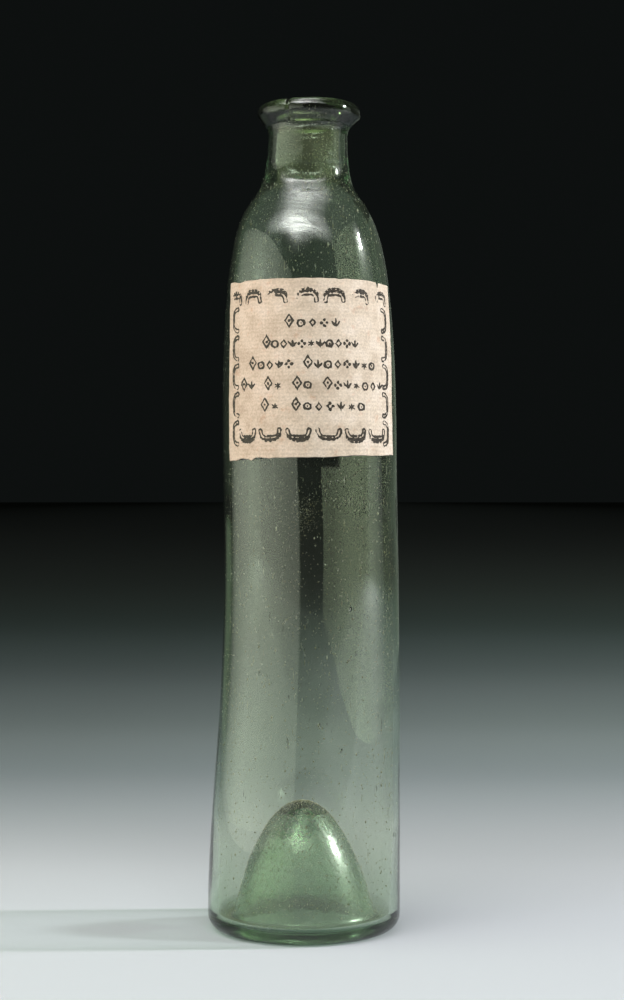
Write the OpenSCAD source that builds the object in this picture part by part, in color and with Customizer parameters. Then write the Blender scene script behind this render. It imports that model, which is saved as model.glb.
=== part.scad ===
// Apothecary bottle: tall free-blown green glass with a deep pushed-up base, a trail of glass
// laid round the mouth, and a paper label pasted to the wall. It has no stopper.
// Millimetres, +Z up. The origin is on the ground at the centre of the resting ring.
// The label faces -Y.

/* [Body] */
// Outside diameter just above the heel
base_d = 48; // [44:0.5:56]
// Outside diameter at the waist, where the label is pasted
waist_d = 43.4; // [40:0.2:50]
// Height of the flared lower wall, from the heel up to the waist
flare_h = 109; // [80:1:140]
// Height of the rounded shoulder, from the waist up to where it turns hollow
shoulder_h = 68; // [56:0.5:84]
// Outside diameter where the shoulder turns from round to hollow
turn_d = 28.6; // [27:0.2:32]
// Slope of the glass at that turn, from the vertical, in degrees
turn_angle = 33; // [25:1:40]
// Height of the hollow throat, from the turn up to the narrowest part of the neck
throat_h = 16; // [14:0.5:22]

/* [Neck and mouth] */
// Outside diameter of the neck at its narrowest
neck_d = 19.4; // [18.4:0.2:20.4]
// Diameter of the straight bore that takes a cork
bore_d = 15.4; // [13:0.2:16.4]
// Length of the straight bore
bore_l = 14; // [10:0.5:16]
// Height over which the neck flares out below the lip
mouth_flare_h = 2.7; // [2:0.1:5]
// Outside diameter of the mouth inside the lip ring
seat_d = 20.8; // [20.4:0.1:21.6]
// Rounding of the mouth's inner edge
mouth_round = 0.8; // [0.4:0.1:1.5]

/* [Lip ring] */
// Outside diameter of the lip ring
lip_d = 25.4; // [24.2:0.2:28]
// Height of the lip ring, with its sloping underside
lip_h = 5.6; // [4.6:0.1:7]
// Rounding of the lip ring's outer edge
lip_round = 1.9; // [1:0.1:2.2]
// Width of the seam where the two ends of the trail meet
seam_w = 0.5; // [0.3:0.1:1]
// Depth of that seam
seam_depth = 0.6; // [0.3:0.1:0.9]
// Place of the seam, from the front towards the left, in degrees
seam_angle = 25; // [0:1:90]

/* [Base] */
// Radius of the rounded heel
heel_r = 4; // [3:0.25:5]
// Width of the worn resting ring
rest_w = 2; // [1.2:0.1:2.6]
// Height of the pushed-up kick inside the bottle, above the ground
kick_h = 31.7; // [24:0.1:45]
// Lean of the kick's side at its foot, from the vertical, in degrees
kick_lean = 15; // [8:1:22]
// Length over which the kick's side runs straight at its foot
kick_side_l = 12; // [8:0.5:16]
// Half the width of the kick's rounded crown
crown_w = 8.6; // [7:0.1:11]
// Radius of the channel round the foot of the kick
moat_r = 2.2; // [1.5:0.1:2.6]

/* [Glass] */
// Thickness of the glass under that channel
floor_t = 2.4; // [1.8:0.1:4]
// Thickness of the wall at the heel
heel_t = 2.4; // [1.8:0.1:3]
// Thickness of the wall at the waist and shoulder
wall_t = 1.5; // [1:0.1:2.2]
// Height over which the wall thins above the heel
thinning_h = 24; // [12:1:40]
// Thickness of the kick
kick_t = 2; // [1.4:0.1:2.6]

/* [Pontil scar] */
// Diameter of the scar left by the pontil rod, under the crown of the kick
scar_d = 14; // [8:0.5:18]
// Thickness of the scar's broken ring
scar_t = 1.3; // [0.8:0.1:2]
// Thickness of the scar at its centre and its edge
scar_edge_t = 0.35; // [0.2:0.05:0.6]

/* [Label] */
// Width of the paper, measured round the wall
label_w = 49.4; // [30:0.2:60]
// Height of the paper
label_h = 43.4; // [25:0.2:50]
// Height of the paper's lower edge above the waist
label_up = 3.8; // [0:0.2:8]
// Place of the paper's middle, from the front towards the right, in degrees
label_turn = 2; // [-20:1:20]
// Thickness of the paper
paper_t = 0.15; // [0.1:0.01:0.3]
// Thickness of the dried paste behind it
paste_t = 0.1; // [0.05:0.01:0.2]
// How far the paste stops short of the paper's edges
paste_margin = 1; // [0.5:0.1:3]
// Clearance between the paste and the paper's back
paper_gap = 0.02; // [0.02:0.01:0.06]

/* [Hidden] */
$fn = 96;
CURVE_STEPS = 14;
ARC_STEPS = 8;
FRONT = 270; // the direction of -Y, in degrees round Z

base_r = base_d / 2;
waist_r = waist_d / 2;
turn_r = turn_d / 2;
neck_r = neck_d / 2;
bore_r = bore_d / 2;
seat_r = seat_d / 2;
lip_r = lip_d / 2;
scar_r = scar_d / 2;

// Heights, stacked from the ground up
waist_z = heel_r + flare_h;
turn_z = waist_z + shoulder_h;
neck_z = turn_z + throat_h;
lip_z = neck_z + mouth_flare_h;
top_z = lip_z + lip_h;
bore_top_z = top_z - mouth_round;
bore_low_z = bore_top_z - bore_l;
label_z = waist_z + label_up;

// Lengths of the curves' handles: how long each curve keeps its direction at its end
flare_low_pull = 0.29 * flare_h;
flare_top_pull = 0.6 * flare_h;
shoulder_low_pull = 0.22 * shoulder_h;
shoulder_top_pull = 0.23 * shoulder_h;
throat_low_pull = 4.5;
throat_top_pull = 8.2;
inner_throat_pull = 4;
roll_pull = 1.6;

// A point of the cubic curve through four handles, at t from 0 to 1
function bezier(h, t) =
    pow(1 - t, 3) * h[0] + 3 * pow(1 - t, 2) * t * h[1]
    + 3 * (1 - t) * t * t * h[2] + pow(t, 3) * h[3];

// The points of that curve, without its first one, which ends the stretch before it
function curve(h, steps = CURVE_STEPS) = [for (i = [1 : steps]) bezier(h, i / steps)];

// The points of an arc, both ends included
function arc(c, r, from, to, steps = ARC_STEPS) =
    [for (i = [0 : steps]) let (a = from + (to - from) * i / steps) c + r * [cos(a), sin(a)]];

function smooth(t) = let (u = min(max(t, 0), 1)) u * u * (3 - 2 * u);
function unit(v) = v / norm(v);
function left_of(v) = [-v[1], v[0]];
function last(list) = list[len(list) - 1];
function reverse(list) = [for (i = [len(list) - 1 : -1 : 0]) list[i]];

// The direction of a row of points at its i-th one
function heading(p, i) = unit(p[min(i + 1, len(p) - 1)] - p[max(i - 1, 0)]);

// The outside of the wall, from the heel up to the turn and on to the neck
turn_dir = [-sin(turn_angle), cos(turn_angle)];
turn_point = [turn_r, turn_z];
wall_curve = concat(
    [[base_r, heel_r]],
    curve([[base_r, heel_r], [base_r, heel_r + flare_low_pull],
        [waist_r, waist_z - flare_top_pull], [waist_r, waist_z]]),
    curve([[waist_r, waist_z], [waist_r, waist_z + shoulder_low_pull],
        turn_point - shoulder_top_pull * turn_dir, turn_point]));
throat_curve = curve([turn_point, turn_point + throat_low_pull * turn_dir,
    [neck_r, neck_z - throat_top_pull], [neck_r, neck_z]]);
mouth_curve = curve([[neck_r, neck_z], [neck_r, neck_z + mouth_flare_h / 2],
    [(neck_r + seat_r) / 2, lip_z - mouth_flare_h / 5], [seat_r, lip_z]], ARC_STEPS);

// The wall's thickness, by height: thick at the heel, thinning upwards
moat_z = floor_t + moat_r;
function thickness(z) = wall_t + (heel_t - wall_t) * smooth(1 - (z - moat_z) / thinning_h);

// The inside of the wall, from the moat up to the turn and on to the bore
inner_wall = [for (i = [0 : len(wall_curve) - 1]) let (p = wall_curve[i])
    if (p[1] > moat_z + moat_r) p + thickness(p[1]) * left_of(heading(wall_curve, i))];
inner_turn = turn_point + thickness(turn_z) * left_of(turn_dir);
inner_throat = curve([inner_turn, inner_turn + inner_throat_pull * turn_dir,
    [bore_r, bore_low_z - inner_throat_pull], [bore_r, bore_low_z]]);

// The channel round the kick, and the kick's upper side up to its crown
moat_c = [base_r - heel_t - moat_r, moat_z];
moat_arc = arc(moat_c, moat_r, 0, kick_lean - 180, 2 * ARC_STEPS);
kick_foot = last(moat_arc);
kick_dir = [-sin(kick_lean), cos(kick_lean)];
kick_curve = curve([kick_foot, kick_foot + kick_side_l * kick_dir, [crown_w, kick_h], [0, kick_h]]);

// The underside of the kick, from its crown down to the resting ring
kick_side = concat([kick_foot], kick_curve);
kick_under = [for (i = [0 : len(kick_side) - 2]) kick_side[i] + kick_t * left_of(heading(kick_side, i))];
crown_under = [0, kick_h - kick_t];
rest_out_r = base_r - heel_r;
rest_in_r = rest_out_r - rest_w;
foot_roll = curve([kick_under[0], kick_under[0] - roll_pull * kick_dir,
    [rest_in_r - roll_pull, 0], [rest_in_r, 0]], ARC_STEPS);

body_profile = concat(
    [crown_under],
    reverse(kick_under),
    foot_roll,
    arc([rest_out_r, heel_r], heel_r, -90, 0),
    [for (i = [1 : len(wall_curve) - 1]) wall_curve[i]],
    throat_curve,
    mouth_curve,
    [[seat_r, top_z]],
    arc([bore_r + mouth_round, bore_top_z], mouth_round, 90, 180),
    reverse(inner_throat),
    [inner_turn],
    [for (i = [len(inner_wall) - 2 : -1 : 0]) inner_wall[i]],
    moat_arc,
    kick_curve);

// The wall's outside as radius by height, and the kick's underside as height by radius
wall_by_height = [for (p = wall_curve) [p[1], p[0]]];
under_by_radius = concat([crown_under], reverse(kick_under));

// The profile of a skin on the wall between two heights, and between two offsets from the glass
function skin_profile(low, high, in, out) =
    let (zs = concat([low], [for (p = wall_curve) if (p[1] > low && p[1] < high) p[1]], [high]))
    concat([for (z = zs) [lookup(z, wall_by_height) + out, z]],
        reverse([for (z = zs) [lookup(z, wall_by_height) + in, z]]));

// A skin on the front of the wall, as wide as the arc given
module front_skin(low, high, in, out, width) {
    angle = width / waist_r * 180 / PI;
    rotate([0, 0, FRONT + label_turn - angle / 2])
        rotate_extrude(angle = angle)
            polygon(skin_profile(low, high, in, out));
}

// The one gather of glass: wall, shoulder, neck and pushed-up base
module blown_body() {
    color([0.55, 0.68, 0.58, 0.5])
        rotate_extrude()
            polygon(body_profile);
}

// The trail of glass wound round the outside of the mouth, with the seam where its ends meet
module lip_ring() {
    foot = [seat_r, lip_z];
    c = [lip_r - lip_round, top_z - lip_round];
    reach = foot - c;
    meet = atan2(reach[1], reach[0]) + acos(lip_round / norm(reach)); // the underside runs into the arc
    color([0.32, 0.5, 0.34, 0.6])
        difference() {
            rotate_extrude()
                polygon(concat([foot], arc(c, lip_round, meet, 90), [[seat_r, top_z]]));
            rotate([0, 0, FRONT - seam_angle])
                translate([lip_r - seam_depth, -seam_w / 2, lip_z - 1])
                    cube([lip_r, seam_w, lip_h + 2]);
        }
}

// The rough stub that the rod left when it was cracked off, under the crown of the kick
module pontil_scar() {
    function stub_t(r) = scar_edge_t + (scar_t - scar_edge_t) * sin(180 * r / scar_r);
    rs = concat([for (p = under_by_radius) if (p[0] < scar_r) p[0]], [scar_r]);
    top = [for (r = rs) [r, lookup(r, under_by_radius)]];
    color([0.2, 0.36, 0.2, 0.8])
        rotate_extrude()
            polygon(concat([for (p = top) p - [0, stub_t(p[0])]], reverse(top)));
}

// The film of dried starch paste between the glass and the paper
module label_paste() {
    color([0.72, 0.66, 0.5])
        front_skin(label_z + paste_margin, label_z + label_h - paste_margin,
            0, paste_t, label_w - 2 * paste_margin);
}

// The printed sheet of rag paper
module paper_label() {
    back = paste_t + paper_gap;
    color([0.88, 0.78, 0.65])
        front_skin(label_z, label_z + label_h, back, back + paper_t, label_w);
}

blown_body();
lip_ring();
pontil_scar();
label_paste();
paper_label();
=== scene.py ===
# Looks of the apothecary bottle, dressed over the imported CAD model.
# Shapes are worked out in millimetres and turned into metres where a mesh is made.
import math

import bpy
import numpy as np
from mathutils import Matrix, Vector, noise


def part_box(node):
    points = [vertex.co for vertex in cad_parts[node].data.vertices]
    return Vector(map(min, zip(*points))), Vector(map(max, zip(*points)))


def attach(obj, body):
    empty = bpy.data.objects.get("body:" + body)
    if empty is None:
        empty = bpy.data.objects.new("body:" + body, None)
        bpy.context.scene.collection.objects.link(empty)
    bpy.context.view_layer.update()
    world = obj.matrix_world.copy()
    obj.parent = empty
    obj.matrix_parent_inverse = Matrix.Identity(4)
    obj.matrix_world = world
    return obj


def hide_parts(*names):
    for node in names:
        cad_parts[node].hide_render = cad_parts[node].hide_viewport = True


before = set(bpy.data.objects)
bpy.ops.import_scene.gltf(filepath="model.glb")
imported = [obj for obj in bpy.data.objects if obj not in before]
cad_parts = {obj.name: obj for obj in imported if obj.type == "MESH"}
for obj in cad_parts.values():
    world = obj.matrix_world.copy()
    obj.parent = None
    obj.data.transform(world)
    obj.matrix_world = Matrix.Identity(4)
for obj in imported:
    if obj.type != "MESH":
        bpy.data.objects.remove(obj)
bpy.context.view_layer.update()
MM = 0.001
TAU = 2 * math.pi
rng = np.random.default_rng(11)


def cad_size(node, corner, axis):
    """A coordinate of a CAD node's box in millimetres. Corner 0 is the lowest and 1 the highest."""
    return round(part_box(node)[corner][axis] / MM, 1)


# Sizes that the frame gives
BASE_R, TOP_Z = cad_size("blown_body", 1, 0), cad_size("blown_body", 1, 2)
LIP_R, LIP_Z = cad_size("lip_ring", 1, 0), cad_size("lip_ring", 0, 2)
LABEL_Z = cad_size("paper_label", 0, 2)
LABEL_H = cad_size("paper_label", 1, 2) - LABEL_Z
SCAR_TOP = cad_size("pontil_scar", 1, 2)
# Sizes between those, as the CAD has them
WAIST_R, TURN_R, NECK_R, BORE_R, SEAT_R = 21.7, 14.3, 9.7, 7.7, 10.4
WAIST_Z, TURN_Z, NECK_Z = 113.0, 181.0, 197.0
HEEL_R, MOAT_R, LIP_ROUND, RIM_ROUND = 4.0, 2.2, 1.9, 0.8
KICK_T, HEEL_T, WALL_T = 2.0, 2.4, 1.5
KICK_H = SCAR_TOP + KICK_T
REST_W, BORE_L = 2.0, 14
# The glass floor of the base, which is thicker here than in the CAD
FLOOR_T = 3.2


def bezier(p, steps):
    """Points of a cubic curve through four handles, both ends included."""
    p = np.array(p, float)
    t = np.linspace(0, 1, steps + 1)[:, None]
    return (1 - t) ** 3 * p[0] + 3 * (1 - t) ** 2 * t * p[1] + 3 * (1 - t) * t * t * p[2] + t**3 * p[3]


def arc(c, r, a, b, steps):
    t = np.radians(np.linspace(a, b, steps + 1))
    return np.c_[c[0] + r * np.cos(t), c[1] + r * np.sin(t)]


def upright(r, start, end, count):
    return np.c_[np.full(count, r), np.linspace(start, end, count)]


def join(*runs):
    """One run of points, without the point that two neighbours share."""
    out = [runs[0]]
    for run in runs[1:]:
        gap = np.linalg.norm(run[0] - out[-1][-1])
        out.append(run[1:] if gap < 1e-6 else run)
    return np.vstack(out)


def normals(p):
    """The left-hand normal at each point of a run."""
    d = np.gradient(p, axis=0)
    d /= np.linalg.norm(d, axis=1)[:, None]
    return np.c_[-d[:, 1], d[:, 0]]


def smooth(t):
    t = np.clip(t, 0, 1)
    return t * t * (3 - 2 * t)


def between(z, low, rise, high, fall):
    """1 between two heights, easing in above the low one and out below the high one."""
    return smooth((z - low) / rise) * smooth((high - z) / fall)


def spline(z, zs, xs):
    """A smooth line through the given values, by height."""
    zs, xs = np.array(zs, float), np.array(xs, float)
    m = np.gradient(xs, zs)
    i = np.clip(np.searchsorted(zs, z) - 1, 0, len(zs) - 2)
    h = zs[i + 1] - zs[i]
    t = np.clip((z - zs[i]) / h, 0, 1)
    return (
        (2 * t**3 - 3 * t**2 + 1) * xs[i]
        + (t**3 - 2 * t**2 + t) * h * m[i]
        + (3 * t**2 - 2 * t**3) * xs[i + 1]
        + (t**3 - t**2) * h * m[i + 1]
    )


# The outline is two curves that meet at the shoulder's turn, where it leans TURN_A inwards, and a flare
TURN_A = math.radians(33)
TURN_DIR = np.array([-math.sin(TURN_A), math.cos(TURN_A)])
TURN = np.array([TURN_R, TURN_Z])
WAIST = (WAIST_R, WAIST_Z)
# How far each curve's handles reach from its ends
HEEL_REACH, WAIST_DOWN, WAIST_UP, SHOULDER_REACH, THROAT_REACH, NECK_REACH = 31.6, 65.4, 15, 15.6, 4.5, 8.2
FLARE_LOW, FLARE_HIGH = 1.35, 0.54
WALL = join(
    bezier([(BASE_R, HEEL_R), (BASE_R, HEEL_R + HEEL_REACH), (WAIST_R, WAIST_Z - WAIST_DOWN), WAIST], 90),
    bezier([WAIST, (WAIST_R, WAIST_Z + WAIST_UP), TURN - SHOULDER_REACH * TURN_DIR, TURN], 80),
)
THROAT = bezier([TURN, TURN + THROAT_REACH * TURN_DIR, (NECK_R, NECK_Z - NECK_REACH), (NECK_R, NECK_Z)], 34)
FLARE_MID = ((NECK_R + SEAT_R) / 2, LIP_Z - FLARE_HIGH)
FLARE = bezier([(NECK_R, NECK_Z), (NECK_R, NECK_Z + FLARE_LOW), FLARE_MID, (SEAT_R, LIP_Z)], 10)
# How far the blown shoulder and throat lie outside those plain curves, by height
TRIM_Z = [150, 158, 165, 170, 174, 177, 179.5, 181.5, 183.3, 185, 186.8, 188.6, 190.5, 193, 196.5, 199.7]
TRIM_R = [0, 0.05, 0.17, 0.2, 0.2, 0.12, -0.05, -0.28, -0.42, -0.42, -0.25, -0.08, 0.05, 0.13, 0.15, 0]
for run in (WALL, THROAT, FLARE):
    run[:, 0] += spline(run[:, 1], TRIM_Z, TRIM_R)
OUTLINE = join(WALL, THROAT, FLARE)
# The height where the wall starts to thin, and the height over which it does
THICK_Z, THINNING_H = 4.6, 24


def wall_radius(z):
    """The outer wall's radius at a height, before ripples."""
    return np.interp(z, OUTLINE[:, 1], OUTLINE[:, 0])


def thickness(z):
    return WALL_T + (HEEL_T - WALL_T) * smooth(1 - (z - THICK_Z) / THINNING_H)


# The kick's side leans inwards at its foot, and its crown is round
KICK_LEAN = math.radians(15)
KICK_DIR = np.array([-math.sin(KICK_LEAN), math.cos(KICK_LEAN)])
KICK_REACH, CROWN_REACH, ROLL_REACH, BORE_REACH = 12, 8.6, 1.6, 4


def body_runs():
    """The body's closed section: its outside from the crown's underside up, and its inside down."""
    moat_c = np.array([BASE_R - HEEL_T - MOAT_R, FLOOR_T + MOAT_R])
    moat = arc(moat_c, MOAT_R, 0, -165, 24)
    foot = moat[-1]
    kick = bezier([foot, foot + KICK_REACH * KICK_DIR, (CROWN_REACH, KICK_H), (0, KICK_H)], 60)
    under = kick + KICK_T * normals(kick)
    under[-1] = (0, KICK_H - KICK_T)
    under[:, 0] = np.maximum(under[:, 0], 0)
    rest_out = BASE_R - HEEL_R
    rest_in = rest_out - REST_W
    roll = bezier([under[0], under[0] - ROLL_REACH * KICK_DIR, (rest_in - ROLL_REACH, 0), (rest_in, 0)], 12)
    rest = np.array([[rest_in, 0], [rest_out, 0]])
    heel = arc((rest_out, HEEL_R), HEEL_R, -90, 0, 14)
    seat = upright(SEAT_R, LIP_Z, TOP_Z, 9)
    keep = WALL[:, 1] > FLOOR_T + 2 * MOAT_R
    inner = (WALL + thickness(WALL[:, 1])[:, None] * normals(WALL))[keep]
    bore_top = TOP_Z - RIM_ROUND
    bore_low = bore_top - BORE_L
    end = inner[-1]
    bore = upright(BORE_R, bore_low, bore_top, 19)
    throat = bezier([end, end + BORE_REACH * TURN_DIR, (BORE_R, bore_low - BORE_REACH), bore[0]], 30)
    rim = arc((BORE_R + RIM_ROUND, bore_top), RIM_ROUND, 90, 180, 8)
    outside = join(under[::-1], roll, rest, heel, WALL, THROAT, FLARE, seat)
    inside = join(rim, bore[::-1], throat[::-1], inner[::-1], moat, kick)
    return outside, inside


OUTSIDE, INSIDE = body_runs()

# The body's wander from a straight axis, as free-blown glass has it
WANDER_Z = [0, 8, 32, 57, 82, 119, 150, 167, 181, 191, 200, 206]
WANDER_X = [-1.0, -1.0, -0.4, 0.5, 0.9, 0.5, 0.2, 0.0, -0.3, -0.1, 0.1, 0.1]
WANDER_Y = [0.0, 0.1, 0.4, 0.2, -0.3, -0.2, 0.3, 0.3, 0.2, 0.1, 0.0, 0.0]
# The neck's root is pinched a little at the front: height, depth outside, depth inside, half its turn
PINCH_Z = [172, 176, 179.5, 182.2, 184, 184.9, 186.4, 190.2, 193.7]
PINCH_OUT = [0, 0.18, 0.53, 0.86, 1.12, 1.14, 0.84, 0.32, 0]
PINCH_IN = [0, 0.15, 0.42, 0.7, 0.98, 1.1, 1.2, 0.35, 0]
PINCH_TURN = 0.45
# A small flat on the right of the neck's root: turn from the front, height, half width, half height, depth
FLAT = (0.8, 188.0, 0.26, 3.6, 0.26)
# Unevenness as waves of (turns round the bottle, length up it, height)
OUTER_WAVES = [(2, 120, 0.06), (3, 60, 0.025), (6, 30, 0.008), (30, 200, 0.006)]
INNER_WAVES = [(2, 90, 0.12), (3, 45, 0.05), (5, 22, 0.015)]
TOOL_WAVES = [(1, 2.8, 0.06), (3, 1.4, 0.012)]
RING_WAVES = [(1, 2.4, 0.02), (2, 1.1, 0.008)]
KICK_WAVES = [(2, 40, 0.2), (3, 25, 0.1)]
# Where the kick's foot and its leaning crown have their middles
KICK_X, CROWN_X, CROWN_Y = -1.0, -1.25, 0.15


def ripple(theta, z, seed, waves):
    """A smooth uneven field round and up the bottle."""
    r = np.random.default_rng(seed)
    out = 0.0
    for turns, length, height in waves:
        for _ in range(3):
            n = r.integers(max(0, turns - 1), turns + 2)
            k = TAU / (length * r.uniform(0.7, 1.4))
            out = out + height / 3 * np.cos(n * theta + r.uniform(0, 7)) * np.cos(k * z + r.uniform(0, 7))
    return out


def turned(theta, deg):
    """How far theta lies from a direction, up to half a turn either way."""
    return (theta - math.radians(deg) + math.pi) % TAU - math.pi


def placed(theta, r, z, inside):
    """Where a point of the straight section lies on the real, uneven bottle."""
    near = smooth(r / 6)
    aside = turned(theta, -90)
    pinch = spline(z, PINCH_Z, PINCH_IN if inside else PINCH_OUT) * ((z > PINCH_Z[0]) & (z < PINCH_Z[-1]))
    r = r - np.exp(-((aside / PINCH_TURN) ** 2)) * pinch
    turn, at, wide, high, deep = FLAT
    r = r - deep * np.exp(-(((aside - turn) / wide) ** 2) - ((z - at) / high) ** 2)
    if inside:
        r = r + near * between(z, 2, 16, 196, 12) * ripple(theta, z, 5, INNER_WAVES)
        r = r + near * between(z, 183, 3, 199, 3) * ripple(theta, z, 9, TOOL_WAVES)
    r = r + near * between(z, 1, 20, 200, 10) * ripple(theta, z, 3, OUTER_WAVES)
    rings = between(z, 178, 4, 191, 4) + 0.5 * between(z, 170, 4, 179, 3)
    r = r + near * rings * ripple(theta, z, 7, RING_WAVES)
    x = r * np.cos(theta) + spline(z, WANDER_Z, WANDER_X)
    y = r * np.sin(theta) + spline(z, WANDER_Z, WANDER_Y)
    return x, y, z


def on_axis(theta, r, z):
    return r * np.cos(theta), r * np.sin(theta), z


def outer_placed(theta, r, z):
    return placed(theta, r, z, False)


def inner_placed(theta, r, z):
    """The inner side, which below the wall follows the outer one."""
    return placed(theta, r, z, z.max() > 7)


def lumps(points, scale):
    """Smooth noise at each point."""
    return np.array([noise.noise(Vector(point) * scale) for point in points])


def kick_placed(theta, r, z):
    """Where a point of the kick lies. Its crown leans a little and its skin is bumpy."""
    rise = np.clip(z / KICK_H, 0, 1)
    r = r + smooth(r / 5) * rise * ripple(theta, z, 8, KICK_WAVES)
    x = r * np.cos(theta) + KICK_X - 0.5 * rise
    y = r * np.sin(theta) + 0.3 * rise
    skin = np.c_[x, y, z]
    bumps = lumps(skin, 0.8) + 0.6 * lumps(skin, 2.1)
    push = 0.05 * smooth((z - 5) / 4) * bumps
    away = np.maximum(np.hypot(x - CROWN_X, y - CROWN_Y), 1e-3)
    x = x + push * (x - CROWN_X) / away
    y = y + push * (y - CROWN_Y) / away
    return x, y, z + push * smooth((z - 20) / 8)


def make(name, verts, faces, smoothed=True):
    """A mesh object from points in millimetres."""
    me = bpy.data.meshes.new(name)
    me.from_pydata((np.asarray(verts, float) * MM).tolist(), [], faces)
    me.update()
    if smoothed:
        me.polygons.foreach_set("use_smooth", [True] * len(me.polygons))
    ob = bpy.data.objects.new(name, me)
    bpy.context.collection.objects.link(ob)
    return ob


def strip(a, b, n):
    """Faces between two rings of n points, either of which may be a single point."""
    if len(a) == 1 and len(b) == 1:
        return []
    if len(a) == 1:
        return [(a[0], b[(i + 1) % n], b[i]) for i in range(n)]
    if len(b) == 1:
        return [(a[i], a[(i + 1) % n], b[0]) for i in range(n)]
    return [(a[i], a[(i + 1) % n], b[(i + 1) % n], b[i]) for i in range(n)]


def revolve(rows, n):
    """Points and faces of a closed body of revolution.

    rows holds (radius, height, place) from pole to pole, or all round a ring, and place sets a row's points.
    """
    theta = np.linspace(0, TAU, n, endpoint=False)
    verts, ids = [], []
    for r, z, place in rows:
        count = n if r > 1e-6 else 1
        ids.append(range(len(verts), len(verts) + count))
        verts.extend(np.c_[place(theta[:count], np.full(count, r), np.full(count, z))].tolist())
    faces = []
    for a, b in zip(ids, ids[1:]):
        faces += strip(a, b, n)
    if len(ids[0]) > 1:
        faces += strip(ids[-1], ids[0], n)
    return verts, faces


AROUND = 192


def inner_side():
    """How each row of the inner side is placed, from the rim to the crown."""
    places, foot = [], False
    for r, z in INSIDE:
        foot = foot or (z < FLOOR_T + MOAT_R and r < BASE_R - HEEL_T - MOAT_R)
        places.append(kick_placed if foot else inner_placed)
    return places


def glass_body():
    rows = []
    for r, z in OUTSIDE:
        kick = 3 < z < 40 and r < 16.5
        rows.append((r, z, kick_placed if kick else outer_placed))
    rows += [(r, z, place) for (r, z), place in zip(INSIDE, inner_side())]
    verts, faces = revolve(rows, AROUND)
    seeds(verts, faces)
    return make("blown_glass", verts, faces)


# The camera in millimetres, and its lens on a frame that stands on end
CAM = np.array([1.0, -500.0, 106.8])
LENS, SENSOR = 72.0, 36.0
FRAME_W, FRAME_H = 624, 1000
LENS_PX = LENS / SENSOR * FRAME_H


def seen_at(px, py):
    """Angle and height of the front wall's point that the photograph shows at a pixel."""
    y = -WAIST_R
    for _ in range(12):
        far = y - CAM[1]
        x = CAM[0] + (px - FRAME_W / 2) / LENS_PX * far
        z = CAM[2] + (FRAME_H / 2 - py) / LENS_PX * far
        r = float(wall_radius(z))
        x_in = x - float(spline(np.array([z]), WANDER_Z, WANDER_X)[0])
        y = -math.sqrt(max(r * r - x_in * x_in, 0.01))
    return math.atan2(y, x_in), z


# The larger bubbles: pixel across and down, radius and half height in millimetres
BUBBLES = (
    (317.6, 537, 0.2, 0.24),
    (344.7, 544, 0.18, 0.24),
    (351, 609.5, 0.46, 0.62),
    (396, 835, 0.3, 0.7),
)
SMALL_BUBBLES = 420


def seeds(verts, faces):
    """Air bubbles closed in the wall, most of them small and drawn out upright."""
    g = np.random.default_rng(41)
    spots = [(*seen_at(px, py), r, h, 0.5) for px, py, r, h in BUBBLES]
    for _ in range(SMALL_BUBBLES):
        r = min(0.05 + g.exponential(0.03), 0.2)
        where = g.uniform(0, TAU), g.uniform(34, 184)
        spots.append((*where, r, r * (1.3 + g.exponential(2.2)), g.uniform(0.3, 0.7)))
    th, z, r, h, deep = np.array(spots).T[:, :, None]
    lean = g.normal(0, 0.12, th.shape)
    unit, shell = revolve([(math.sin(a), math.cos(a), on_axis) for a in np.linspace(0, math.pi, 7)], 8)
    side, depth, up = np.array(unit).T
    side, depth, up = side * r, depth * np.minimum(r, 0.35), up * h
    out = wall_radius(z) - deep * thickness(z)
    at = (th + (side + lean * up) / out, out + depth, z + up)
    points = outer_placed(*(v.ravel() for v in at))
    for k in range(len(th)):
        first = len(verts) + k * len(unit)
        faces += [tuple(first + v for v in f[::-1]) for f in shell]
    verts.extend(np.c_[points].tolist())


# The trail's seat stands clear of the body's, and its seam is at the left of the front
TRAIL_R = SEAT_R + 0.03
SEAM_DEG = 245


def lip():
    """The trail of glass round the mouth: a round edge over a slope that is tangent to it."""
    foot = np.array([TRAIL_R, LIP_Z])
    c = np.array([LIP_R - LIP_ROUND, TOP_Z - LIP_ROUND])
    reach = foot - c
    meet = math.degrees(math.atan2(reach[1], reach[0]) + math.acos(LIP_ROUND / np.linalg.norm(reach)))
    edge = arc(c, LIP_ROUND, meet, 90, 26)
    slope = np.linspace(foot, edge[0], 6)
    top = np.array([[c[0], TOP_Z], [TRAIL_R, TOP_Z]])
    section = join(slope, edge, top, upright(TRAIL_R, TOP_Z, LIP_Z, 9))[:-1]
    verts, faces = revolve([(r, z, lip_placed) for r, z in section], 2 * AROUND)
    return make("lip_trail", verts, faces)


def lip_placed(theta, r, z):
    """The trail is laid round by hand: it is fuller and droops on the right, and has a seam."""
    out = smooth((r - SEAT_R - 0.1) / 0.8)
    off = turned(theta, SEAM_DEG) * LIP_R
    seam = 0.75 * np.exp(-((off / 0.42) ** 2)) + 0.25 * np.exp(-(((off + 1.0) / 1.3) ** 2))
    low = smooth((TOP_Z - 1.0 - z) / 2) * (0.5 + 0.5 * np.cos(theta))
    full = 0.3 * low + 0.12 * np.cos(2 * theta + 1) + 0.05 * np.cos(5 * theta)
    droop = -0.5 * low * smooth((r - 11) / 1.5)
    x, y, z = placed(theta, r + out * (full - seam), z, False)
    top = smooth((z - LIP_Z - 3) / 2)
    crest = 0.12 * np.cos(theta + 0.6) - 0.35 * np.exp(-((off / 0.5) ** 2))
    return x, y, z + droop * (1 - top) + out * top * crest


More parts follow.
